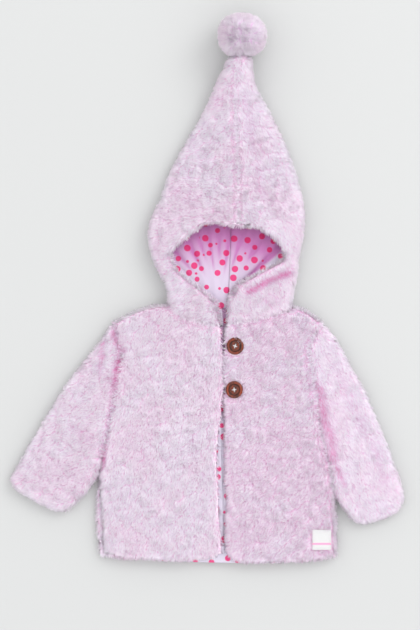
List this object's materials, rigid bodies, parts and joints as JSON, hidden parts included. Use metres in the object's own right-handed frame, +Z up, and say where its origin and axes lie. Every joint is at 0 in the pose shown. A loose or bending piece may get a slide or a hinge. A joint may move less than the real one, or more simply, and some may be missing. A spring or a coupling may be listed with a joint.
{
  "type": "hooded jacket",
  "caption": "Baby's plush jacket with a pointed hood, pompom, dotted cotton lining and wooden buttons, laid flat and face up.",
  "frame": {"origin": "on the underside of the back panel, where it rests, on the middle of the garment between neck and hem", "axes": "+Z up from the surface it lies on, +Y from the hem to the hood's tip, +X to the right as it is looked down on, which is the wearer's left"},
  "size_m": [0.513, 0.7146, 0.0646],
  "materials": {
    "plush": "pale pink plush fleece",
    "lining": "white cotton with pink dots",
    "button_wood": "turned and waxed",
    "elastic": "round white elastic",
    "label_tape": "white woven tape"
  },
  "bodies": {
    "root": {"back": "plush", "front_right": "plush", "front_left": "plush", "sleeve_right": "plush", "sleeve_left": "plush", "hood_right": "plush", "hood_left": "plush", "pompom": "plush", "hood_lining_right": "lining", "hood_lining_left": "lining", "back_lining": "lining", "front_right_facing": "lining", "button_upper": "button_wood", "button_lower": "button_wood", "button_loop_upper": "elastic", "button_loop_lower": "elastic", "label": "label_tape"}
  },
  "joints": []
}
